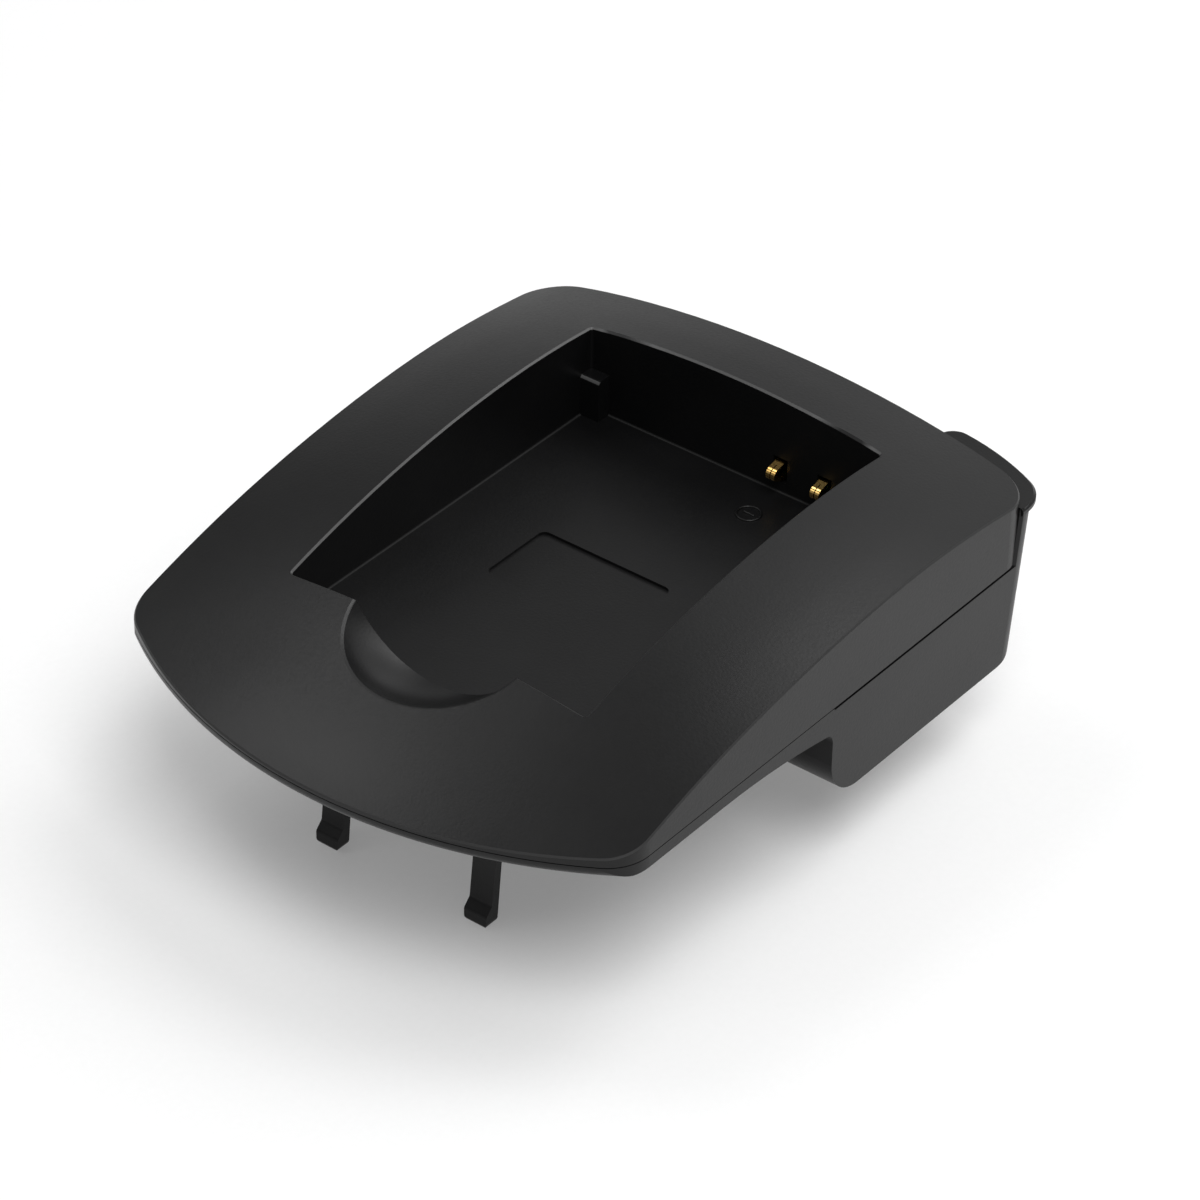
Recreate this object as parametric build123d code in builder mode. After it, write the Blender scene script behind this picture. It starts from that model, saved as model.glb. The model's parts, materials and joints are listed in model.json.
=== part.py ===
from build123d import *
import os
from math import radians, sqrt, tan

os.makedirs("parts", exist_ok=True)

# Battery plate of a camera battery charger: a domed top cover with the battery pocket, a bottom cover with
# the block that plugs into the charger, and the contacts and small circuit board between them.
# Millimetres. +Z is up, +Y runs to the finger tab at the rear, X runs across the plate.
# The origin lies on the block's seat plane, on the centre line, below the pocket's rear wall.

# Plate seen from above
plate_width = 61.4
plate_length = 74.5
rear_reach = 8.9
front_bow_radius = 53.2
front_corner_radius = 5.0
rear_corner_radius = 4.6

# Heights, from the seat plane up
floor_height = 12.5
floor_thickness = 1.0
tray_thickness = 1.3
tray_edge_radius = 1.1
front_seam_gap = 0.1
block_seam_gap = 0.3

# Domed top. Each station has its place as a share of the way from the pocket's rear wall to the front,
# its crown as a share of the dome's height above the pocket floor, and the radius of its section.
dome_height = 11.5
dome_stations = [
    (-0.183, 0.803, 125.0),
    (0.0, 0.965, 112.0),
    (0.213, 1.0, 116.0),
    (0.457, 0.857, 126.0),
    (0.701, 0.522, 159.0),
    (0.884, 0.157, 197.0),
    (1.036, -0.105, 235.0),
]
dome_overrun = 4.0
crease_bevel = 0.15

# Walls of the two covers
top_wall = 1.8
side_wall = 1.8
pocket_wall = 1.5
block_floor = 1.6

# Battery pocket, its finger scoop, its corner key and the shallow recess in its floor
pocket_width = 36.0
pocket_length = 46.5
pocket_corner_radius = 0.35
pocket_rim_bevel = 0.2
scoop_radius = 11.6
key_width = 2.4
key_depth = 1.8
key_height = 4.8
key_edge_radius = 0.5
recess_width = 16.0
recess_length = 9.1
recess_setback = 20.2
recess_corner_radius = 0.8
recess_depth = 0.3

# Block under the rear half, its leaning rear wall and the belly of the tray in front of it
block_reach = 24.5
block_edge_radius = 4.5
block_cove_radius = 1.3
belly_start = 42.0
belly_radius = 90.0
rear_foot = 7.5
rear_lean = 7.5
rear_edge_radius = 3.0
riser_height = 5.4
riser_foot = 5.4
riser_gap = 0.15
riser_edge_bevel = 0.3

# Finger tab round the rear right corner, seen from above: how far it runs inwards, out to the side and back
tab_width = 14.3
tab_overhang = 0.1
tab_rear_reach = 14.2
tab_side_reach = 9.8
tab_bow = 1.0
tab_inner_radius = 2.2
tab_outer_radius = 4.4
tab_thickness = 1.0
tab_edge_bevel = 0.3

# Snap hooks under the tray
hook_spacing = 18.6
hook_width = 2.75
hook_thickness = 0.8
hook_toe_front = 52.0
hook_toe = 0.85
hook_toe_height = 1.5
hook_toe_slope = 0.9
hook_drop = 8.6
hook_lean = 5.5
hook_edge_radius = 0.5
hook_corner_radius = 0.7
hook_root = 0.6

# Cover screws and the bosses that hold them
screw_front = 40.0
screw_rear = 4.0
screw_length = 4.5
screw_radius = 0.95
screw_head_radius = 1.8
screw_head_height = 1.1
screw_clearance = 0.1
boss_radius = 2.8
boss_web = 1.6

# Circuit board and its two rails
board_width = 20.0
board_thickness = 1.2
board_front = 3.0
board_lift = 0.6
board_margin = 0.9
board_clearance = 0.1
rail_width = 2.4
rail_lap = 1.0
rail_wall = 1.2
rail_height = 8.0

# Battery contacts: spring strips through slots in the pocket's rear wall
strip_thickness = 0.3
contact_middle = 8.7
contact_pitch = 5.4
contact_width = 1.05
contact_slit = 0.12
contact_slit_setback = 0.6
contact_nose = 3.0
contact_nose_radius = 0.55
contact_nose_height = 2.8
contact_root_height = 3.5
contact_tail_height = 1.75
contact_tail = 1.9
slot_clearance = 0.35
solder_stub = 0.6

# Base terminals: strips from the board to windows in the block's seat
terminal_pitch = 4.6
terminal_width = 2.0
terminal_height = 0.5
terminal_standoff = 0.5
terminal_foot = 6.0
terminal_solder_height = 5.5
terminal_bend_radius = 0.6
window_clearance = 0.4

# Chips on the rear of the board, their heights above the pocket floor
resistor_length = 3.2
resistor_width = 1.6
resistor_thickness = 0.6
resistor_height = 0.5
fuse_length = 4.5
fuse_width = 3.2
fuse_thickness = 0.9
fuse_height = -3.5

# Sizes that follow from the ones above
half_width = plate_width / 2
front_reach = plate_length - rear_reach
seam_height = floor_height - floor_thickness
tray_top = seam_height - front_seam_gap
tray_underside = tray_top - tray_thickness
block_rim = seam_height - block_seam_gap
riser_top = floor_height + riser_height
boss_top = seam_height + boss_web
lean = tan(radians(rear_lean))
screw_across = pocket_width / 2 + pocket_wall + half_width - side_wall
board_middle = board_front + board_thickness / 2
board_foot = block_floor + board_lift
board_top = floor_height + contact_root_height + board_margin
terminal_leg = board_front - terminal_standoff - strip_thickness / 2
dome_room = dome_height + floor_thickness + dome_overrun
riser_front = riser_foot + riser_gap + lean * (riser_top - riser_gap - seam_height)
contact_places = [contact_middle - contact_pitch / 2, contact_middle + contact_pitch / 2]
terminal_places = [contact_middle + step * terminal_pitch for step in (-1, 0, 1)]
screw_places = [
    (side * screw_across / 2, -reach) for side in (-1, 1) for reach in (screw_front, screw_rear)
]


def plate_outline(rear_y, rear_radius, front_radius=front_corner_radius, inset=0.0):
    """Plan of the plate: bowed front, straight sides and a straight rear edge at rear_y, drawn in by inset"""
    corner_y = front_bow_radius - front_reach - sqrt(front_bow_radius**2 - half_width**2)
    with BuildSketch() as outline:
        with BuildLine():
            bow = ThreePointArc((-half_width, corner_y), (0, -front_reach), (half_width, corner_y))
            Polyline(bow @ 1, (half_width, rear_y), (-half_width, rear_y), bow @ 0)
        make_face()
        if rear_radius:
            fillet(outline.vertices().group_by(Axis.Y)[-1], rear_radius)
        if front_radius:
            fillet(outline.vertices().group_by(Axis.Y)[0], front_radius)
        if inset:
            offset(amount=-inset)
    return outline.sketch


def dome_solid(depth):
    """Everything under the domed top lowered by depth: a loft through arc-topped sections across the plate"""
    half_span = half_width + dome_overrun
    with BuildPart() as dome:
        for way, rise, radius in dome_stations:
            peak = floor_height + rise * dome_height - depth
            shoulder = peak - radius + sqrt(radius**2 - half_span**2)
            with BuildSketch(Plane.XZ.offset(way * front_reach)):
                with BuildLine():
                    arch = ThreePointArc((-half_span, shoulder), (0, peak), (half_span, shoulder))
                    Polyline(arch @ 1, (half_span, 0), (-half_span, 0), arch @ 0)
                make_face()
        loft()
    return dome.part


# Room inside the top cover, round the pocket, its scoop and the screw posts
with BuildPart() as cover_room:
    with BuildSketch(Plane.XY.offset(seam_height)):
        add(plate_outline(rear_reach, rear_corner_radius, inset=side_wall))
    extrude(amount=dome_room)
    add(dome_solid(top_wall), mode=Mode.INTERSECT)
    with BuildSketch(Plane.XY.offset(seam_height)):
        with Locations((0, -pocket_length / 2)):
            Rectangle(pocket_width + 2 * pocket_wall, pocket_length + 2 * pocket_wall)
    extrude(amount=dome_room, mode=Mode.SUBTRACT)
    with Locations((0, -pocket_length, floor_height + scoop_radius)):
        Sphere(scoop_radius + pocket_wall, mode=Mode.SUBTRACT)
    with BuildSketch(Plane.XY.offset(boss_top)):
        with Locations(*screw_places):
            Circle(boss_radius)
    extrude(amount=dome_room, mode=Mode.SUBTRACT)

# Top cover: the moulded dome with the battery pocket
with BuildPart() as top_cover:
    with BuildSketch(Plane.XY.offset(seam_height)):
        add(plate_outline(rear_reach, rear_corner_radius))
    extrude(amount=dome_room)
    add(dome_solid(0), mode=Mode.INTERSECT)
    chamfer(top_cover.faces().sort_by(Axis.Z)[-1].edges(), crease_bevel)
    add(cover_room.part, mode=Mode.SUBTRACT)

    # The rear wall stands on the bottom cover, so the part below it is open
    with BuildSketch(Plane.YZ):
        with BuildLine():
            Polyline(
                (riser_foot, seam_height),
                (riser_foot + lean * (riser_top - seam_height), riser_top),
                (rear_reach + dome_overrun, riser_top),
                (rear_reach + dome_overrun, seam_height),
                close=True,
            )
        make_face()
    extrude(amount=plate_width, both=True, mode=Mode.SUBTRACT)

    # Pocket, finger scoop and the floor's recess
    with BuildSketch(Plane.XY.offset(floor_height)):
        with Locations((0, -pocket_length / 2)):
            RectangleRounded(pocket_width, pocket_length, pocket_corner_radius)
    extrude(amount=dome_room, mode=Mode.SUBTRACT)
    with Locations((0, -pocket_length, floor_height + scoop_radius)):
        Sphere(scoop_radius, mode=Mode.SUBTRACT)
    dome_face = top_cover.faces().filter_by(GeomType.BSPLINE).sort_by(Axis.Z)[-1]
    chamfer(dome_face.inner_wires()[0].edges(), pocket_rim_bevel)
    with BuildSketch(Plane.XY.offset(floor_height)):
        with Locations((0, -recess_setback - recess_length / 2)):
            RectangleRounded(recess_width, recess_length, recess_corner_radius)
    extrude(amount=-recess_depth, mode=Mode.SUBTRACT)

    # Key in the pocket's rear left corner
    with BuildSketch(Plane.YZ.offset(-pocket_width / 2)) as key_profile:
        with Locations((-key_depth / 2, floor_height + key_height / 2)):
            Rectangle(key_depth, key_height)
        fillet(key_profile.vertices().group_by(Axis.X)[0].sort_by(Axis.Y)[-1], key_edge_radius)
    extrude(amount=key_width)

    # Slots for the battery contacts and pilot holes for the screws
    with BuildSketch(Plane.XZ.offset(-pocket_wall)):
        slot_height = contact_root_height - contact_tail_height + strip_thickness + 2 * slot_clearance
        slot_middle = floor_height + (contact_root_height + contact_tail_height) / 2
        for place in contact_places:
            with Locations((place, slot_middle)):
                Rectangle(contact_width + 2 * slot_clearance, slot_height)
    extrude(amount=pocket_wall, mode=Mode.SUBTRACT)
    with BuildSketch(Plane.XY.offset(seam_height)):
        with Locations(*screw_places):
            Circle(screw_radius + screw_clearance)
    extrude(amount=screw_length + screw_clearance, mode=Mode.SUBTRACT)
top_cover.part.label = "top_cover"
export_step(top_cover.part, "parts/top_cover.step")

# One snap hook: a strap that leans forward to a rounded toe
with BuildPart() as hook:
    hook_slant = tan(radians(hook_lean))
    strap_front = hook_toe - hook_toe_front
    root = tray_underside + hook_root
    with BuildSketch(Plane.YZ) as hook_profile:
        with BuildLine():
            Polyline(
                (strap_front + hook_slant * (root + hook_drop), root),
                (strap_front, hook_toe_height + hook_toe_slope - hook_drop),
                (strap_front - hook_toe, hook_toe_height - hook_drop),
                (strap_front - hook_toe, -hook_drop),
                (strap_front + hook_thickness, -hook_drop),
                (strap_front + hook_thickness + hook_slant * (root + hook_drop), root),
                close=True,
            )
        make_face()
        fillet(hook_profile.vertices().sort_by(Axis.Y)[:4], hook_edge_radius)
    extrude(amount=hook_width / 2, both=True)
    with BuildSketch(Plane.XZ.offset(hook_toe_front + hook_toe)) as hook_face:
        with Locations((0, (root - hook_drop) / 2)):
            Rectangle(hook_width, root + hook_drop)
        fillet(hook_face.vertices().group_by(Axis.Y)[0], hook_corner_radius)
    extrude(amount=-front_reach, mode=Mode.INTERSECT)

# Finger tab: a rounded plate with a bowed rear edge, level with the top of the riser
with BuildPart() as tab:
    tab_outer = half_width + tab_overhang
    tab_inner = tab_outer - tab_width
    with BuildSketch(Plane.XY.offset(riser_top - riser_gap)) as tab_plan:
        with BuildLine():
            bow = SagittaArc((tab_outer, tab_side_reach), (tab_inner, tab_rear_reach), -tab_bow)
            Polyline(bow @ 1, (tab_inner, riser_front), (tab_outer, riser_front), bow @ 0)
        make_face()
        fillet(tab_plan.vertices().sort_by(Axis.Y)[-1], tab_inner_radius)
        fillet(tab_plan.vertices().group_by(Axis.X)[-1].sort_by(Axis.Y)[-1], tab_outer_radius)
    extrude(amount=-tab_thickness)
    chamfer(tab.edges().filter_by(Axis.Z, reverse=True).sort_by(Axis.Y)[2:], tab_edge_bevel)

# Room inside the block, behind its front wall and in front of the leaning rear wall
with BuildPart() as block_room:
    with BuildSketch(Plane.YZ) as room_profile:
        with BuildLine():
            Polyline(
                (side_wall - block_reach, riser_top),
                (side_wall - block_reach, block_floor),
                (rear_foot + lean * block_floor - side_wall, block_floor),
                (rear_foot + lean * riser_top - side_wall, riser_top),
                close=True,
            )
        make_face()
        fillet(room_profile.vertices().group_by(Axis.Y)[0], block_edge_radius - side_wall)
    extrude(amount=half_width - side_wall, both=True)

# Bottom cover: thin tray, block, rear wall with the finger tab, and the snap hooks
with BuildPart() as bottom_cover:
    belly_drop = belly_radius - sqrt(belly_radius**2 - (belly_start - block_reach) ** 2)
    with BuildSketch(Plane.YZ) as side_profile:
        with BuildLine():
            flat = Polyline(
                (-front_reach, tray_top),
                (-front_reach, tray_underside),
                (-belly_start, tray_underside),
            )
            belly = RadiusArc(flat @ 1, (-block_reach, tray_underside - belly_drop), belly_radius)
            Polyline(
                belly @ 1,
                (-block_reach, 0),
                (rear_foot, 0),
                (rear_foot + lean * (riser_top - riser_gap), riser_top - riser_gap),
                (riser_front, riser_top - riser_gap),
                (riser_foot + riser_gap, block_rim),
                (-block_reach, block_rim),
                (-block_reach, tray_top),
                flat @ 0,
            )
        make_face()
        fillet(side_profile.vertices().group_by(Axis.Y)[0], block_edge_radius)
        cove = side_profile.vertices().sort_by_distance((-block_reach, tray_underside - belly_drop))[0]
        fillet(cove, block_cove_radius)
    extrude(amount=half_width, both=True)
    with BuildSketch():
        add(plate_outline(rear_reach + plate_width, 0, 0))
    extrude(amount=riser_top, mode=Mode.INTERSECT)
    front_arcs = bottom_cover.edges().filter_by(GeomType.CIRCLE).group_by(Axis.Y)[0]
    fillet(front_arcs.sort_by(Axis.Z)[0], tray_edge_radius)
    with BuildSketch():
        add(plate_outline(rear_reach + plate_width, 0))
    extrude(amount=riser_top, mode=Mode.INTERSECT)
    with BuildSketch() as rear_plan:
        with Locations((0, rear_foot - plate_width)):
            Rectangle(plate_width, 2 * plate_width)
        fillet(rear_plan.vertices().group_by(Axis.Y)[-1], rear_edge_radius)
    extrude(amount=riser_top, dir=(0, lean, 1), mode=Mode.INTERSECT)
    for side in (-1, 1):
        riser_edge = (side * half_width, (riser_foot + riser_front) / 2, (block_rim + riser_top) / 2)
        chamfer(bottom_cover.edges().sort_by_distance(riser_edge)[0], riser_edge_bevel)
    add(tab.part)
    add(block_room.part, mode=Mode.SUBTRACT)
    with Locations((-hook_spacing / 2, 0), (hook_spacing / 2, 0)):
        add(hook.part)

    # Screw bosses, each with a head recess from below and a hole for the shank
    for reach, foot in ((screw_front, tray_underside), (screw_rear, 0)):
        places = [(side * screw_across / 2, -reach) for side in (-1, 1)]
        with BuildSketch(Plane.XY.offset(foot)):
            with Locations(*places):
                Circle(boss_radius)
        extrude(amount=boss_top - foot)
        with BuildSketch():
            with Locations(*places):
                Circle(screw_head_radius + screw_clearance)
        extrude(amount=seam_height, mode=Mode.SUBTRACT)
        with BuildSketch(Plane.XY.offset(seam_height)):
            with Locations(*places):
                Circle(screw_radius + screw_clearance)
        extrude(amount=boss_web, mode=Mode.SUBTRACT)

    # Rails that hold the circuit board by its upright edges
    for side in (-1, 1):
        with BuildSketch(Plane.XY.offset(block_floor)):
            rail_place = contact_middle + side * (board_width / 2 + rail_width / 2 - rail_lap)
            with Locations((rail_place, board_middle)):
                Rectangle(rail_width, board_thickness + 2 * board_clearance + 2 * rail_wall)
        extrude(amount=rail_height)
    with BuildSketch(Plane.XY.offset(board_foot)):
        with Locations((contact_middle, board_middle)):
            Rectangle(board_width + 2 * board_clearance, board_thickness + 2 * board_clearance)
    extrude(amount=rail_height, mode=Mode.SUBTRACT)

    # Windows in the seat for the base terminals
    with BuildSketch():
        for place in terminal_places:
            with Locations((place, terminal_leg - (terminal_foot - strip_thickness) / 2)):
                Rectangle(terminal_width + 2 * window_clearance, terminal_foot + 2 * window_clearance)
    extrude(amount=block_floor, mode=Mode.SUBTRACT)
bottom_cover.part.label = "bottom_cover"
export_step(bottom_cover.part, "parts/bottom_cover.step")

# Circuit board with a slot for every strip that is soldered through it
with BuildPart() as contact_board:
    solder_slot = strip_thickness + 2 * board_clearance
    with BuildSketch(Plane.XZ.offset(-board_front)):
        with Locations((contact_middle, (board_foot + board_top) / 2)):
            Rectangle(board_width, board_top - board_foot)
        with Locations(*[(place, floor_height + contact_root_height) for place in contact_places]):
            Rectangle(contact_width + 2 * board_clearance, solder_slot, mode=Mode.SUBTRACT)
        with Locations(*[(place, terminal_solder_height) for place in terminal_places]):
            Rectangle(terminal_width + 2 * board_clearance, solder_slot, mode=Mode.SUBTRACT)
    extrude(amount=-board_thickness)
contact_board.part.label = "contact_board"
export_step(contact_board.part, "parts/contact_board.step")


def battery_contact_profile():
    """Spring strip from the board through the pocket's rear wall, round its nose and back into the wall"""
    with BuildSketch() as strip:
        with BuildLine():
            FilletPolyline(
                (board_front + board_thickness + solder_stub, floor_height + contact_root_height),
                (0, floor_height + contact_root_height),
                (-contact_nose, floor_height + contact_nose_height),
                (0, floor_height + contact_tail_height),
                (contact_tail, floor_height + contact_tail_height),
                radius=contact_nose_radius,
            )
        trace(line_width=strip_thickness)
    return strip.sketch


def base_terminal_profile():
    """Strip soldered through the board, down past its front and forward into a window in the seat"""
    with BuildSketch() as strip:
        with BuildLine():
            FilletPolyline(
                (board_front + board_thickness + solder_stub, terminal_solder_height),
                (terminal_leg, terminal_solder_height),
                (terminal_leg, terminal_height),
                (terminal_leg - terminal_foot, terminal_height),
                radius=terminal_bend_radius,
            )
        trace(line_width=strip_thickness)
    return strip.sketch


# Battery contacts: gold-plated spring strips with a split nose, the negative one nearer the pocket's middle
with BuildPart() as battery_contact_negative:
    with BuildSketch(Plane.YZ.offset(contact_places[0])):
        add(battery_contact_profile())
    extrude(amount=contact_width / 2, both=True)
    with BuildSketch(Plane.XZ.offset(contact_slit_setback)):
        with Locations((contact_places[0], floor_height + contact_nose_height)):
            Rectangle(contact_slit, 2 * contact_root_height)
    extrude(amount=contact_nose, mode=Mode.SUBTRACT)
battery_contact_negative.part.label = "battery_contact_negative"
export_step(battery_contact_negative.part, "parts/battery_contact_negative.step")

with BuildPart() as battery_contact_positive:
    with BuildSketch(Plane.YZ.offset(contact_places[1])):
        add(battery_contact_profile())
    extrude(amount=contact_width / 2, both=True)
    with BuildSketch(Plane.XZ.offset(contact_slit_setback)):
        with Locations((contact_places[1], floor_height + contact_nose_height)):
            Rectangle(contact_slit, 2 * contact_root_height)
    extrude(amount=contact_nose, mode=Mode.SUBTRACT)
battery_contact_positive.part.label = "battery_contact_positive"
export_step(battery_contact_positive.part, "parts/battery_contact_positive.step")

# Base terminals: plated strips that show in the windows of the seat
with BuildPart() as base_terminal_negative:
    with BuildSketch(Plane.YZ.offset(terminal_places[0])):
        add(base_terminal_profile())
    extrude(amount=terminal_width / 2, both=True)
base_terminal_negative.part.label = "base_terminal_negative"
export_step(base_terminal_negative.part, "parts/base_terminal_negative.step")

with BuildPart() as base_terminal_identity:
    with BuildSketch(Plane.YZ.offset(terminal_places[1])):
        add(base_terminal_profile())
    extrude(amount=terminal_width / 2, both=True)
base_terminal_identity.part.label = "base_terminal_identity"
export_step(base_terminal_identity.part, "parts/base_terminal_identity.step")

with BuildPart() as base_terminal_positive:
    with BuildSketch(Plane.YZ.offset(terminal_places[2])):
        add(base_terminal_profile())
    extrude(amount=terminal_width / 2, both=True)
base_terminal_positive.part.label = "base_terminal_positive"
export_step(base_terminal_positive.part, "parts/base_terminal_positive.step")

# Identity resistor: a chip soldered flat on the rear of the board
with BuildPart() as identity_resistor:
    with BuildSketch(Plane.XZ.offset(-board_front - board_thickness)):
        with Locations((contact_middle, floor_height + resistor_height)):
            Rectangle(resistor_length, resistor_width)
    extrude(amount=-resistor_thickness)
identity_resistor.part.label = "identity_resistor"
export_step(identity_resistor.part, "parts/identity_resistor.step")

# Resettable fuse: a larger chip below it
with BuildPart() as resettable_fuse:
    with BuildSketch(Plane.XZ.offset(-board_front - board_thickness)):
        with Locations((contact_middle, floor_height + fuse_height)):
            Rectangle(fuse_length, fuse_width)
    extrude(amount=-fuse_thickness)
resettable_fuse.part.label = "resettable_fuse"
export_step(resettable_fuse.part, "parts/resettable_fuse.step")

# Cover screws: four short self-tapping screws from below, their heads against the bosses
with BuildPart() as cover_screws:
    with BuildSketch(Plane.XY.offset(seam_height)):
        with Locations(*screw_places):
            Circle(screw_head_radius)
    extrude(amount=-screw_head_height)
    with BuildSketch(Plane.XY.offset(seam_height)):
        with Locations(*screw_places):
            Circle(screw_radius)
    extrude(amount=screw_length)
cover_screws.part.label = "cover_screws"
export_step(cover_screws.part, "parts/cover_screws.step")
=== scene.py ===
import json

import bpy
import numpy as np
from mathutils import Matrix, Vector


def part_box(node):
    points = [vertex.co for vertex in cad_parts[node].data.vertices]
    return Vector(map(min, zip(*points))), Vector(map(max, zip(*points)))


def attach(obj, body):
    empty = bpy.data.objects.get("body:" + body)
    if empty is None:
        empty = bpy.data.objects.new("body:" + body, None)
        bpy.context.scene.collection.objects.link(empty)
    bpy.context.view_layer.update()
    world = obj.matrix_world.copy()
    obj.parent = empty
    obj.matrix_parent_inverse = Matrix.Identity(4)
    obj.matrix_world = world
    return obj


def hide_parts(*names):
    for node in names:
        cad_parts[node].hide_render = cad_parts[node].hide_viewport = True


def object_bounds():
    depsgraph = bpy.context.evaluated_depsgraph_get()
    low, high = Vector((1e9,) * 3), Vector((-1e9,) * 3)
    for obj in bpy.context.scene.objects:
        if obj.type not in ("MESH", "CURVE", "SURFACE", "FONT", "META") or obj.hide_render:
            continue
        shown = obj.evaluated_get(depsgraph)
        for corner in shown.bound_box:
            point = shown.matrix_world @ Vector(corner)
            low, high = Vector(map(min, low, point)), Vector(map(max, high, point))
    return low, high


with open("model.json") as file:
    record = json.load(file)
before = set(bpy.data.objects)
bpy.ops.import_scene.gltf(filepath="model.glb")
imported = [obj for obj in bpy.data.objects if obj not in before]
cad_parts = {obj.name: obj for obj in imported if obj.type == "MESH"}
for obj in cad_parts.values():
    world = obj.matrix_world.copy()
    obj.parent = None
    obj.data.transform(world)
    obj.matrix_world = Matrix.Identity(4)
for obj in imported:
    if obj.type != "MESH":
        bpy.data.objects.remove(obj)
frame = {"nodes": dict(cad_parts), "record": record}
cad_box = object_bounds()
mm = 0.001


# Bottom cover: tray, block, rear wall with its finger tab and two snap hooks, one black plastic moulding.
# Its mould was spark-eroded, so the outside is satin with a fine even grain.
# The block plugs into a charger base, and the hooks hold it there.
def add(tree, kind, sockets=None, **settings):
    """One shader node with its settings, its sockets set to plain values or linked from other sockets."""
    node = tree.nodes.new("ShaderNode" + kind)
    for key, value in settings.items():
        setattr(node, key, value)
    for key, value in (sockets or {}).items():
        if isinstance(value, bpy.types.NodeSocket):
            tree.links.new(value, node.inputs[key])
        else:
            node.inputs[key].default_value = value
    return node


def maths(tree, operation, first, second=0.0):
    """One sum, difference, product, size or maximum of two values."""
    return add(tree, "Math", {0: first, 1: second}, operation=operation).outputs["Value"]


def ramp(tree, factor, low_colour, high_colour, low=0.0, high=1.0):
    """Colour that goes from low_colour at low to high_colour at high."""
    node = add(tree, "ValToRGB", {"Fac": factor})
    for element, position, colour in zip(node.color_ramp.elements, (low, high), (low_colour, high_colour)):
        element.position = position
        element.color = (*colour, 1.0)
    return node.outputs["Color"]


def spread(tree, value, low, high, from_low=0.0, from_high=1.0):
    """Value moved in a straight line from the range from_low to from_high to the range low to high."""
    limits = {"From Min": from_low, "From Max": from_high, "To Min": low, "To Max": high}
    return add(tree, "MapRange", {"Value": value, **limits}).outputs["Result"]


def effect_group(name, inputs, outputs):
    """An empty shader node group with float inputs and outputs of those names."""
    tree = bpy.data.node_groups.new(name, "ShaderNodeTree")
    for socket in inputs:
        tree.interface.new_socket(socket, in_out="INPUT", socket_type="NodeSocketFloat")
    for socket in outputs:
        tree.interface.new_socket(socket, in_out="OUTPUT", socket_type="NodeSocketFloat")
    return tree, tree.nodes.new("NodeGroupInput"), tree.nodes.new("NodeGroupOutput")


def make_moulded_grain():
    """Spark texture of a moulded surface: round pits of the grain size under a finer noise give the height,
    slow clouds the mottle, and long patches where hands have rubbed the surface the rub."""
    names = ("Grain per metre", "Clouds per metre"), ("Height", "Mottle", "Rub")
    tree, given, made = effect_group("moulded_grain", *names)
    grain, clouds = given.outputs[0], given.outputs[1]
    place = add(tree, "TexCoord").outputs["Object"]
    pits = add(tree, "TexVoronoi", {"Vector": place, "Scale": grain}, feature="SMOOTH_F1")
    fine = add(tree, "TexNoise", {"Vector": place, "Scale": grain, "Detail": 3.0})
    height = add(tree, "Mix", {"Factor": 0.45, "A": pits.outputs["Distance"], "B": fine.outputs["Fac"]})
    slow = add(tree, "TexNoise", {"Vector": place, "Scale": clouds, "Detail": 6.0, "Roughness": 0.62})
    turned = add(tree, "Mapping", {"Vector": place, "Rotation": (0.0, 0.0, 0.6), "Scale": (1.0, 0.35, 1.0)})
    long = {"Vector": turned.outputs[0], "Scale": clouds, "Detail": 8.0, "Distortion": 0.6}
    limits = {"Value": add(tree, "TexNoise", long).outputs["Fac"], "From Min": 0.35, "From Max": 0.75}
    rub = add(tree, "MapRange", limits, interpolation_type="SMOOTHSTEP").outputs["Result"]
    tree.links.new(height.outputs["Result"], made.inputs["Height"])
    tree.links.new(slow.outputs["Fac"], made.inputs["Mottle"])
    tree.links.new(rub, made.inputs["Rub"])
    return tree


def new_material(name):
    """A material, its node tree and its Principled shader."""
    material = bpy.data.materials.new(name)
    material.use_nodes = True
    return material, material.node_tree, material.node_tree.nodes["Principled BSDF"]


def moulded_plastic(name, dark, light, rough, rubbed, grain, grain_depth, clouds):
    """Moulded plastic. The mottle moves the colour from dark to light, and the rub moves the roughness
    from rough to rubbed, with the grain as a fine speckle on it. The grain is also a bump of that depth."""
    speckle_reach = 0.03
    specular_level = 0.26
    material, tree, shader = new_material(name)
    sizes = {"Grain per metre": 1 / grain, "Clouds per metre": 1 / clouds}
    skin = add(tree, "Group", sizes, node_tree=moulded_grain)
    bump = add(tree, "Bump", {"Height": skin.outputs["Height"], "Strength": 1.0, "Distance": grain_depth})
    tree.links.new(ramp(tree, skin.outputs["Mottle"], dark, light, 0.3, 0.7), shader.inputs["Base Color"])
    speckle = spread(tree, skin.outputs["Height"], -speckle_reach, speckle_reach, 0.2, 0.7)
    worn = spread(tree, skin.outputs["Rub"], rough, rubbed)
    tree.links.new(maths(tree, "ADD", worn, speckle), shader.inputs["Roughness"])
    tree.links.new(bump.outputs["Normal"], shader.inputs["Normal"])
    shader.inputs["Specular IOR Level"].default_value = specular_level
    return material, tree, shader


def finish_node(name, material):
    """Gives a CAD node its finished material."""
    frame["nodes"][name].material_slots[0].material = material


moulded_grain = make_moulded_grain()
bottom_plastic, _, _ = moulded_plastic(
    "bottom_cover_plastic",
    dark=(0.0032, 0.0032, 0.0034),
    light=(0.0054, 0.0054, 0.0056),
    rough=0.37,
    rubbed=0.33,
    grain=0.28 * mm,
    grain_depth=0.01 * mm,
    clouds=14 * mm,
)
finish_node("bottom_cover", bottom_plastic)


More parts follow.
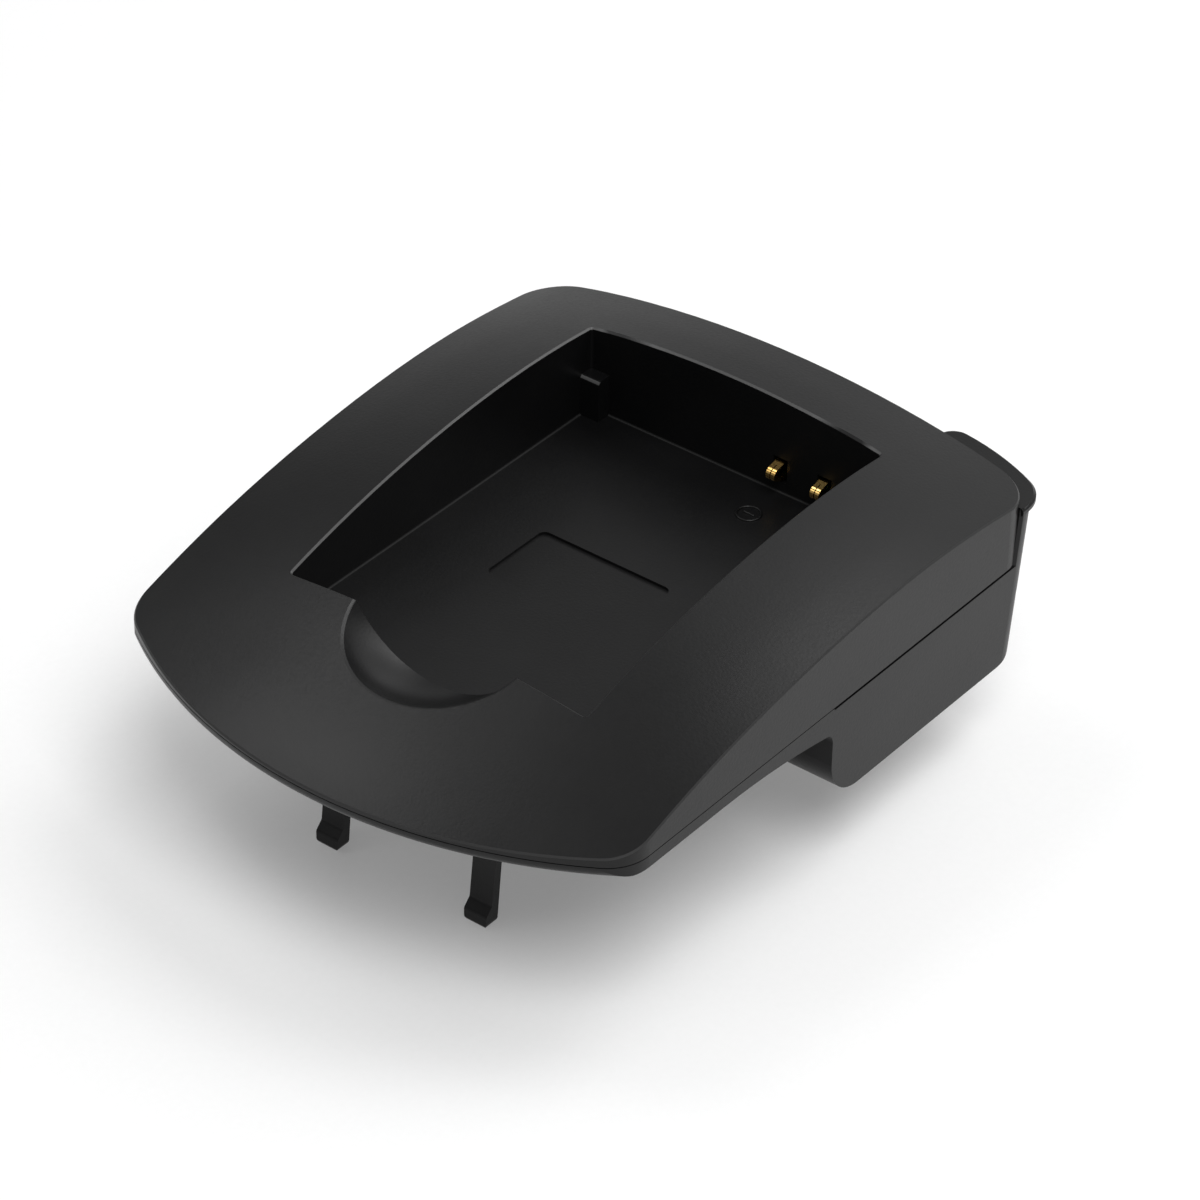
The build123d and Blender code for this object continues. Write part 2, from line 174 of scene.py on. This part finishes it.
# Base terminals: three strips of gold-plated spring bronze, soldered to the board and bent under it.
# They show in the windows of the block's seat, where the charger base touches them.
def make_rolled_strip():
    """Skin of rolled and plated strip: fine lines along the strip, which runs across X, give the height,
    and slow patches of handling film give the film."""
    tree, given, made = effect_group("rolled_strip", ("Lines per metre",), ("Height", "Film"))
    place = add(tree, "TexCoord").outputs["Object"]
    drawn = add(tree, "Mapping", {"Vector": place, "Scale": (1.0, 0.02, 0.02)})
    lines = add(tree, "TexNoise", {"Vector": drawn.outputs[0], "Scale": given.outputs[0], "Detail": 4.0})
    film = add(tree, "TexNoise", {"Vector": place, "Scale": 900.0, "Detail": 5.0})
    tree.links.new(lines.outputs["Fac"], made.inputs["Height"])
    tree.links.new(spread(tree, film.outputs["Fac"], 0.0, 1.0, 0.35, 0.7), made.inputs["Film"])
    return tree


def plated_strip(name, clean, filmed, rough_clean, rough_filmed, line_width, line_depth):
    """Plated metal strip: the film moves the colour and the roughness, and the rolled lines are a bump."""
    material, tree, shader = new_material(name)
    skin = add(tree, "Group", {"Lines per metre": 1 / line_width}, node_tree=rolled_strip)
    bump = add(tree, "Bump", {"Height": skin.outputs["Height"], "Strength": 1.0, "Distance": line_depth})
    tree.links.new(ramp(tree, skin.outputs["Film"], clean, filmed), shader.inputs["Base Color"])
    tree.links.new(spread(tree, skin.outputs["Film"], rough_clean, rough_filmed), shader.inputs["Roughness"])
    tree.links.new(bump.outputs["Normal"], shader.inputs["Normal"])
    shader.inputs["Metallic"].default_value = 1.0
    return material


rolled_strip = make_rolled_strip()
gold_strip = plated_strip(
    "gold_plated_strip",
    clean=(0.95, 0.66, 0.24),
    filmed=(0.72, 0.46, 0.15),
    rough_clean=0.16,
    rough_filmed=0.3,
    line_width=0.03 * mm,
    line_depth=0.002 * mm,
)
for pole in ("negative", "identity", "positive"):
    finish_node("base_terminal_" + pole, gold_strip)


# Circuit board: a small upright glass-fibre board that stands in two rails of the block.
# Copper tracks run from the contacts down to the terminals under a green solder mask.
def solder_mask(name, bare, track, track_pitch, track_height):
    """Solder mask over copper. Bands across X are the tracks, lighter and raised, and noise is the weave
    of the glass."""
    material, tree, shader = new_material(name)
    place = add(tree, "TexCoord").outputs["Object"]
    bands = add(tree, "TexWave", {"Vector": place, "Scale": np.pi / 10 / track_pitch, "Distortion": 0.0})
    tracks = spread(tree, bands.outputs["Fac"], 0.0, 1.0, 0.55, 0.65)
    weave = add(tree, "TexNoise", {"Vector": place, "Scale": 2500.0, "Detail": 2.0}).outputs["Fac"]
    bump = add(tree, "Bump", {"Height": tracks, "Strength": 1.0, "Distance": track_height})
    tree.links.new(ramp(tree, tracks, bare, track), shader.inputs["Base Color"])
    tree.links.new(spread(tree, weave, 0.28, 0.42), shader.inputs["Roughness"])
    tree.links.new(bump.outputs["Normal"], shader.inputs["Normal"])
    return material


green_board = solder_mask(
    "green_solder_mask",
    bare=(0.012, 0.09, 0.03),
    track=(0.03, 0.17, 0.06),
    track_pitch=2.7 * mm,
    track_height=0.03 * mm,
)
finish_node("contact_board", green_board)


# Identity resistor and resettable fuse: chips soldered flat on the rear of the board.
# Each is a coated body with a tinned cap at both ends.
def capped_chip(node, coat, cap_length):
    """Chip of a coated body with tinned ends: what lies within cap_length of an end of X is metal."""
    tinned = (0.6, 0.6, 0.58)
    cap_blend = 0.03 * mm
    speckle_depth = 0.01 * mm
    low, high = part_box(node)
    material, tree, shader = new_material(node + "_finish")
    place = add(tree, "TexCoord").outputs["Object"]
    across = add(tree, "SeparateXYZ", {"Vector": place}).outputs["X"]
    away = maths(tree, "ABSOLUTE", maths(tree, "SUBTRACT", across, (low.x + high.x) / 2))
    edge = (high.x - low.x) / 2 - cap_length
    cap = spread(tree, away, 0.0, 1.0, edge - cap_blend, edge + cap_blend)
    speckle = add(tree, "TexNoise", {"Vector": place, "Scale": 6000.0, "Detail": 3.0}).outputs["Fac"]
    bump = add(tree, "Bump", {"Height": speckle, "Strength": 1.0, "Distance": speckle_depth})
    tree.links.new(ramp(tree, cap, coat, tinned), shader.inputs["Base Color"])
    tree.links.new(cap, shader.inputs["Metallic"])
    tree.links.new(spread(tree, speckle, 0.3, 0.5), shader.inputs["Roughness"])
    tree.links.new(bump.outputs["Normal"], shader.inputs["Normal"])
    finish_node(node, material)


capped_chip("identity_resistor", coat=(0.012, 0.012, 0.014), cap_length=0.5 * mm)
capped_chip("resettable_fuse", coat=(0.03, 0.13, 0.07), cap_length=0.6 * mm)


# Battery contacts: two narrow strips of gold-plated spring bronze, bent to a rounded nose split in two.
# They come through slots in the pocket's rear wall and press on the battery's contacts.
gold_contact = plated_strip(
    "gold_plated_contact",
    clean=(1.0, 0.69, 0.24),
    filmed=(0.8, 0.48, 0.14),
    rough_clean=0.12,
    rough_filmed=0.22,
    line_width=0.03 * mm,
    line_depth=0.002 * mm,
)
for pole in ("negative", "positive"):
    finish_node("battery_contact_" + pole, gold_contact)


# Top cover: the domed shell with the battery pocket and its finger scoop, one black plastic moulding.
# The pocket's rim and the foot of its walls carry a painted highlight, light grey in the base colour, and
# thumbs have rubbed the front edge smooth.
# Four screws from below hold it to the bottom cover.
def painted_edge_highlight(tree, pocket_half, pocket_length, floor, scoop_radius):
    """Mask of a painted highlight on edges, which lightens their colour. Slanted faces get a little of it,
    and those that face the front or the right, round the pocket and its scoop, get it fully. The scoop's own
    sphere isn't an edge. The floor gets a little painted highlight in a narrow line along the foot of the
    left and rear walls."""
    steepest, flattest = (0.34, 0.4), (0.84, 0.9)
    turned_limits = (0.15, 0.45)
    rim_half, rim_front, rim_blend = 28 * mm, -57 * mm, 1 * mm
    foot_width, foot_height, blend = 0.22 * mm, 0.1 * mm, 0.05 * mm
    scoop_gap = 0.03 * mm
    faint_highlight, foot_highlight = 0.35, 0.25
    given = add(tree, "TexCoord").outputs
    place = add(tree, "SeparateXYZ", {"Vector": given["Object"]}).outputs
    facing = add(tree, "SeparateXYZ", {"Vector": given["Normal"]}).outputs
    steep = spread(tree, facing["Z"], 0.0, 1.0, *steepest)
    slant = maths(tree, "MULTIPLY", steep, spread(tree, facing["Z"], 1.0, 0.0, *flattest))
    scoop_way = {0: given["Object"], 1: (0, -pocket_length, floor + scoop_radius)}
    from_scoop = add(tree, "VectorMath", scoop_way, operation="DISTANCE").outputs["Value"]
    off_scoop = spread(tree, from_scoop, 0.0, 1.0, scoop_radius + scoop_gap, scoop_radius + 2 * scoop_gap)
    edge = maths(tree, "MULTIPLY", slant, off_scoop)
    turned = spread(tree, maths(tree, "SUBTRACT", facing["X"], facing["Y"]), 0.0, 1.0, *turned_limits)
    across = maths(tree, "ABSOLUTE", place["X"])
    inner = spread(tree, across, 1.0, 0.0, rim_half, rim_half + rim_blend)
    behind = spread(tree, place["Y"], 0.0, 1.0, rim_front, rim_front + rim_blend)
    full = maths(tree, "MULTIPLY", turned, maths(tree, "MULTIPLY", inner, behind))
    edge = maths(tree, "MULTIPLY", edge, spread(tree, full, faint_highlight, 1.0))
    from_front = maths(tree, "ADD", place["Y"], pocket_length)
    within = spread(tree, across, 1.0, 0.0, pocket_half, pocket_half + blend)
    within = maths(tree, "MULTIPLY", within, spread(tree, from_front, 0.0, 1.0, 0.0, blend))
    within = maths(tree, "MULTIPLY", within, spread(tree, place["Y"], 1.0, 0.0, 0.0, blend))
    to_wall = maths(tree, "MAXIMUM", maths(tree, "SUBTRACT", -pocket_half, place["X"]), place["Y"])
    line = spread(tree, to_wall, 0.0, foot_highlight, -foot_width, blend - foot_width)
    low = spread(tree, place["Z"], 1.0, 0.0, floor + foot_height, floor + foot_height + blend)
    foot = maths(tree, "MULTIPLY", maths(tree, "MULTIPLY", line, low), within)
    return maths(tree, "MAXIMUM", edge, foot)


def thumb_rub(tree, middle, reach):
    """Mask of an oval patch: 1 at its middle, falling in a smooth step to 0 at its reach along each axis."""
    place = add(tree, "TexCoord").outputs["Object"]
    off = add(tree, "VectorMath", {0: place, 1: middle}, operation="SUBTRACT").outputs["Vector"]
    way = add(tree, "VectorMath", {0: off, 1: reach}, operation="DIVIDE").outputs["Vector"]
    length = add(tree, "VectorMath", {0: way}, operation="LENGTH").outputs["Value"]
    limits = {"Value": length, "From Min": 0.0, "From Max": 1.0, "To Min": 1.0, "To Max": 0.0}
    return add(tree, "MapRange", limits, interpolation_type="SMOOTHSTEP").outputs["Result"]


def rub_and_highlight_over(tree, shader, socket, mask, rubbed):
    """Moves what feeds a shader socket to its new value where the mask is 1: a painted highlight colour for
    the base colour, a rubbed roughness for the roughness.
    """
    before = shader.inputs[socket].links[0].from_socket
    kind = "RGBA" if socket == "Base Color" else "FLOAT"
    mix = add(tree, "Mix", {"Factor": mask}, data_type=kind)
    ends = [i for i in mix.inputs if i.enabled and i.name in ("A", "B")]
    tree.links.new(before, ends[0])
    ends[1].default_value = rubbed
    result = next(o for o in mix.outputs if o.enabled)
    tree.links.new(result, shader.inputs[socket])


top_plastic, top_tree, top_shader = moulded_plastic(
    "top_cover_plastic",
    dark=(0.0032, 0.0032, 0.0034),
    light=(0.0054, 0.0054, 0.0056),
    rough=0.37,
    rubbed=0.33,
    grain=0.3 * mm,
    grain_depth=0.011 * mm,
    clouds=16 * mm,
)
floor_level = next(m["pos_m"][2] for m in frame["record"]["mounts"] if m["name"] == "pocket_floor")
pocket_half = 18.0 * mm
pocket_length = 46.5 * mm
scoop_radius = 11.6 * mm
painted_highlight_grey = (0.085, 0.085, 0.085, 1.0)
thumbed_roughness = 0.285
# Painted highlight: the pocket's rims and the foot of its walls are lightened to grey in the base colour.
pocket_highlight_mask = painted_edge_highlight(
    top_tree,
    pocket_half=pocket_half,
    pocket_length=pocket_length,
    floor=floor_level,
    scoop_radius=scoop_radius,
)
rub_and_highlight_over(top_tree, top_shader, "Base Color", pocket_highlight_mask, painted_highlight_grey)
front_rubbed = thumb_rub(top_tree, middle=(0, -64 * mm, 12.5 * mm), reach=(22 * mm, 12 * mm, 40 * mm))
rub_and_highlight_over(top_tree, top_shader, "Roughness", front_rubbed, thumbed_roughness)
finish_node("top_cover", top_plastic)


# Polarity marks: a ring with a minus bar and a ring with a plus, fine raised lines moulded on the top cover.
# They stand on the pocket floor in front of the contacts, in plain black plastic without the top cover's
# painted highlight.
def raised_line(path, closed, width, height):
    """Vertices and grids of faces of a bead along a path on a level floor. The bead is an ellipse, of that
    width and twice that height, centred on the path and swept along it. A closed path joins up. An open
    one shrinks at its ends as the root of one less the eighth power of the way along it."""
    sides, end_power, smallest = 10, 8, 0.003
    count = len(path)
    if closed:
        ahead = np.roll(path, -1, axis=0) - np.roll(path, 1, axis=0)
        swell = np.ones(count)
    else:
        ahead = np.gradient(path, axis=0)
        swell = np.sqrt(np.clip(1 - np.linspace(-1, 1, count) ** end_power, smallest, 1))
    ahead /= np.linalg.norm(ahead, axis=1, keepdims=True)
    left = np.stack((-ahead[:, 1], ahead[:, 0], np.zeros(count)), axis=1)
    turn = np.linspace(0, 2 * np.pi, sides, endpoint=False)
    across = left[:, None] * (np.cos(turn) * width / 2)[None, :, None] * swell[:, None, None]
    up = np.array((0, 0, 1)) * (np.sin(turn) * height)[None, :, None] * swell[:, None, None]
    vertices = (path[:, None] + across + up).reshape(-1, 3)
    row = np.arange(count if closed else count - 1)[:, None]
    side = np.arange(sides)[None, :]
    next_row = (row + 1) % count
    next_side = (side + 1) % sides
    near = (row * sides + side, row * sides + next_side)
    far = (next_row * sides + next_side, next_row * sides + side)
    grids = [np.stack(near + far, axis=-1).reshape(-1, 4)]
    if not closed:
        end = np.arange(sides)
        grids.append(np.stack((end[::-1], end + (count - 1) * sides)))
    return vertices, grids


def put_piece(name, parts, material):
    """One smooth mesh object that rides on the body, made of parts: each is vertices and grids of faces."""
    starts = np.cumsum([0] + [len(vertices) for vertices, _ in parts])
    grids = [grid + start for start, (_, part) in zip(starts, parts) for grid in part]
    faces = [face for grid in grids for face in grid.tolist()]
    mesh = bpy.data.meshes.new(name)
    mesh.from_pydata(np.concatenate([vertices for vertices, _ in parts]).tolist(), [], faces)
    mesh.shade_smooth()
    mesh.materials.append(material)
    piece = bpy.data.objects.new(name, mesh)
    bpy.context.scene.collection.objects.link(piece)
    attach(piece, "root")
    return piece


mark_radius = 1.25 * mm
mark_bar = 0.72 * mm
mark_ahead = 5.1 * mm
line_width = 0.3 * mm
line_height = 0.16 * mm
around = np.linspace(0, 2 * np.pi, 56, endpoint=False)
ring = np.stack((np.cos(around), np.sin(around), 0 * around), axis=1) * mark_radius
along = np.linspace(-mark_bar, mark_bar, 17)
bar_across = np.stack((along, 0 * along, 0 * along), axis=1)
bar_ahead = bar_across[:, [1, 0, 2]]
for pole, bars in (("negative", [bar_across]), ("positive", [bar_across, bar_ahead])):
    low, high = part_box("battery_contact_" + pole)
    centre = np.array(((low.x + high.x) / 2, -mark_ahead, floor_level))
    lines = [raised_line(ring + centre, True, line_width, line_height)]
    lines += [raised_line(bar + centre, False, line_width, line_height) for bar in bars]
    put_piece("polarity_mark_" + pole, lines, bottom_plastic)


# Cover screws: four short self-tapping screws of zinc-plated steel with a cross recess in a low round head.
# They sit in round recesses of the bottom cover and cut their thread in the posts of the top cover.
def screw_surface(head_radius, shank_radius, head_low, head_high, tip):
    """One closed skin as a function of turn and way along a profile. The profile runs from near the middle
    of the head's face out over its rounded rim, up under the head, and up the shank to a blunt point, with
    a flat cap at both ends. The cross recess sinks the face by a clipped slope of the distance from two
    crossed bars. The thread moves the shank's radius by a ridge that climbs one pitch in each turn."""
    turns, pitch, ridge = 64, 0.7 * mm, 0.16 * mm
    recess_depth, recess_arm, recess_reach = 0.55 * mm, 0.2 * mm, 1.05 * mm
    arm_slope, reach_slope = 0.12 * mm, 0.25 * mm
    flat_share, crown_share, rim_share = 0.86, 0.25, 0.45
    point_length, point_share = 0.5 * mm, 0.4
    face = np.linspace(0, head_radius * flat_share, 22)[1:]
    rim = np.linspace(0, np.pi / 2, 7)[1:]
    rim_depth = (head_high - head_low) * rim_share
    rim_radius = head_radius * (flat_share + (1 - flat_share) * np.sin(rim))
    face_height = head_low + crown_share * rim_depth * (face / face[-1]) ** 2
    rim_height = head_low + rim_depth * (crown_share + (1 - crown_share) * (1 - np.cos(rim)))
    shank = np.linspace(head_high, tip - point_length, 60)
    point = [point_share * shank_radius]
    radius = np.concatenate((face, rim_radius, [head_radius], shank_radius + 0 * shank, point))
    height = np.concatenate((face_height, rim_height, [head_high], shank, [tip]))
    on_face = np.concatenate((np.ones(len(face)), np.zeros(len(radius) - len(face))))
    on_shank = np.concatenate((np.zeros(len(face) + len(rim) + 1), np.ones(len(shank)), np.zeros(1)))
    turn = np.linspace(0, 2 * np.pi, turns, endpoint=False)
    x = radius[:, None] * np.cos(turn)
    y = radius[:, None] * np.sin(turn)
    arm = np.minimum(np.abs(x), np.abs(y))
    inside = np.clip((recess_arm - arm) / arm_slope, 0, 1)
    inside *= np.clip((recess_reach - radius[:, None]) / reach_slope, 0, 1)
    climb = height[:, None] / pitch - turn / (2 * np.pi)
    crest = 1 - 2 * np.abs(climb - np.floor(climb) - 0.5)
    shrink = 1 - on_shank[:, None] * (1 - crest) * ridge / shank_radius
    lift = height[:, None] + on_face[:, None] * inside * recess_depth
    vertices = np.stack((x * shrink, y * shrink, lift + 0 * x), axis=-1).reshape(-1, 3)
    row = np.arange(len(radius) - 1)[:, None]
    side = np.arange(turns)[None, :]
    next_side = (side + 1) % turns
    near = (row * turns + side, row * turns + next_side)
    far = ((row + 1) * turns + next_side, (row + 1) * turns + side)
    walls = np.stack(near + far, axis=-1).reshape(-1, 4)
    end = np.arange(turns)
    caps = np.stack((end[::-1], end + (len(radius) - 1) * turns))
    return vertices, [walls, caps]


zinc_steel = plated_strip(
    "zinc_plated_steel",
    clean=(0.62, 0.63, 0.66),
    filmed=(0.46, 0.46, 0.47),
    rough_clean=0.25,
    rough_filmed=0.42,
    line_width=0.06 * mm,
    line_depth=0.003 * mm,
)
head_radius = 1.8 * mm
shank_radius = 0.95 * mm
head_height = 1.1 * mm
low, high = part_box("cover_screws")
screw, screw_grids = screw_surface(head_radius, shank_radius, low.z, low.z + head_height, high.z)
columns = (low.x + head_radius, high.x - head_radius)
rows = (low.y + head_radius, high.y - head_radius)
screw_parts = [(screw + np.array((x, y, 0)), screw_grids) for x in columns for y in rows]
screws = put_piece("cover_screw_set", screw_parts, zinc_steel)
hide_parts("cover_screws")


# Floor: a wide sheet of white paper under the part, level with the toes of the hooks.
# It lies on a light table, so it glows and the shadows on it stay pale.
def paper(name, low_colour, high_colour, fibre, glow):
    """White paper lit from below: fine noise moves the colour and is a faint bump, and the glow is even."""
    material, tree, shader = new_material(name)
    place = add(tree, "TexCoord").outputs["Object"]
    fibres = add(tree, "TexNoise", {"Vector": place, "Scale": 1 / fibre, "Detail": 4.0}).outputs["Fac"]
    bump = add(tree, "Bump", {"Height": fibres, "Strength": 1.0, "Distance": 0.01 * mm})
    tree.links.new(ramp(tree, fibres, low_colour, high_colour), shader.inputs["Base Color"])
    tree.links.new(bump.outputs["Normal"], shader.inputs["Normal"])
    shader.inputs["Roughness"].default_value = 0.9
    shader.inputs["Emission Color"].default_value = (1.0, 1.0, 1.0, 1.0)
    shader.inputs["Emission Strength"].default_value = glow
    return material


floor_half = 3.0
paper_level = cad_box[0].z
floor_mesh = bpy.data.meshes.new("studio_floor")
ways = ((-1, -1), (1, -1), (1, 1), (-1, 1))
floor_corners = [(x * floor_half, y * floor_half, paper_level) for x, y in ways]
floor_mesh.from_pydata(floor_corners, [], [(0, 1, 2, 3)])
white_paper = paper(
    "studio_paper",
    low_colour=(0.7, 0.7, 0.7),
    high_colour=(0.73, 0.73, 0.73),
    fibre=0.6 * mm,
    glow=0.2,
)
floor_mesh.materials.append(white_paper)
studio_floor = bpy.data.objects.new("studio_floor", floor_mesh)
bpy.context.scene.collection.objects.link(studio_floor)


# Studio light: soft boxes behind the part for the dome's far half, one high on the right for the side wall
# and the paper, a small one on the left whose sheen lies on the front slope, and a weak one in front.
# The room round them is an even grey.
def softbox(name, bearing, height, distance, size, radiance):
    """A square area light that faces the part, at a bearing to the right of +Y and a height above the
    horizon in degrees. Its power is pi times its area times its radiance."""
    turn, rise = np.radians(bearing), np.radians(height)
    away = Vector((np.sin(turn) * np.cos(rise), np.cos(turn) * np.cos(rise), np.sin(rise)))
    light = bpy.data.lights.new(name, "AREA")
    light.size = size
    light.energy = np.pi * size**2 * radiance
    lamp = bpy.data.objects.new(name, light)
    lamp.location = (cad_box[0] + cad_box[1]) / 2 + away * distance
    lamp.rotation_euler = away.to_track_quat("Z", "Y").to_euler()
    bpy.context.scene.collection.objects.link(lamp)


softbox("rear_softbox", bearing=10, height=42, distance=0.9, size=0.95, radiance=0.7)
softbox("rear_right_softbox", bearing=30, height=42, distance=0.9, size=0.35, radiance=1.85)
softbox("high_softbox", bearing=15, height=60, distance=0.9, size=0.35, radiance=4.0)
softbox("rear_low_softbox", bearing=-35, height=11, distance=0.9, size=0.7, radiance=0.42)
softbox("left_softbox", bearing=-88, height=57, distance=0.7, size=0.27, radiance=2.7)
softbox("right_softbox", bearing=120, height=60, distance=0.9, size=0.5, radiance=6.2)
softbox("front_softbox", bearing=-140, height=41, distance=0.8, size=0.2, radiance=1.4)
room = bpy.data.worlds.new("grey_room")
room.use_nodes = True
walls = room.node_tree.nodes["Background"]
walls.inputs["Color"].default_value = (1.0, 1.0, 1.0, 1.0)
walls.inputs["Strength"].default_value = 0.26
bpy.context.scene.world = room
bpy.context.scene.view_settings.view_transform = "Standard"


# Camera: above the front right corner, with a long lens, rolled by a degree.
# Its turn, dip, distance and aim were solved from the straight edges in the photograph.
view_turn = np.radians(37.55)
view_dip = np.radians(35.85)
view_roll = np.radians(1.02)
view_distance = 502.8 * mm
view_aim = np.array((-5.5, -14.1, 1.7)) * mm
forward = np.array(
    (-np.sin(view_turn) * np.cos(view_dip), np.cos(view_turn) * np.cos(view_dip), -np.sin(view_dip))
)
level = np.array((np.cos(view_turn), np.sin(view_turn), 0))
upright = np.cross(level, forward)
right = level * np.cos(view_roll) + upright * np.sin(view_roll)
up = upright * np.cos(view_roll) - level * np.sin(view_roll)
lens = bpy.data.cameras.new("photo_camera")
lens.lens = 150
lens.sensor_width = 36
camera = bpy.data.objects.new("photo_camera", lens)
turned = np.eye(4)
turned[:3] = np.stack((right, up, -forward, view_aim - forward * view_distance), axis=1)
camera.matrix_world = Matrix(turned.tolist())
bpy.context.scene.collection.objects.link(camera)
bpy.context.scene.camera = camera
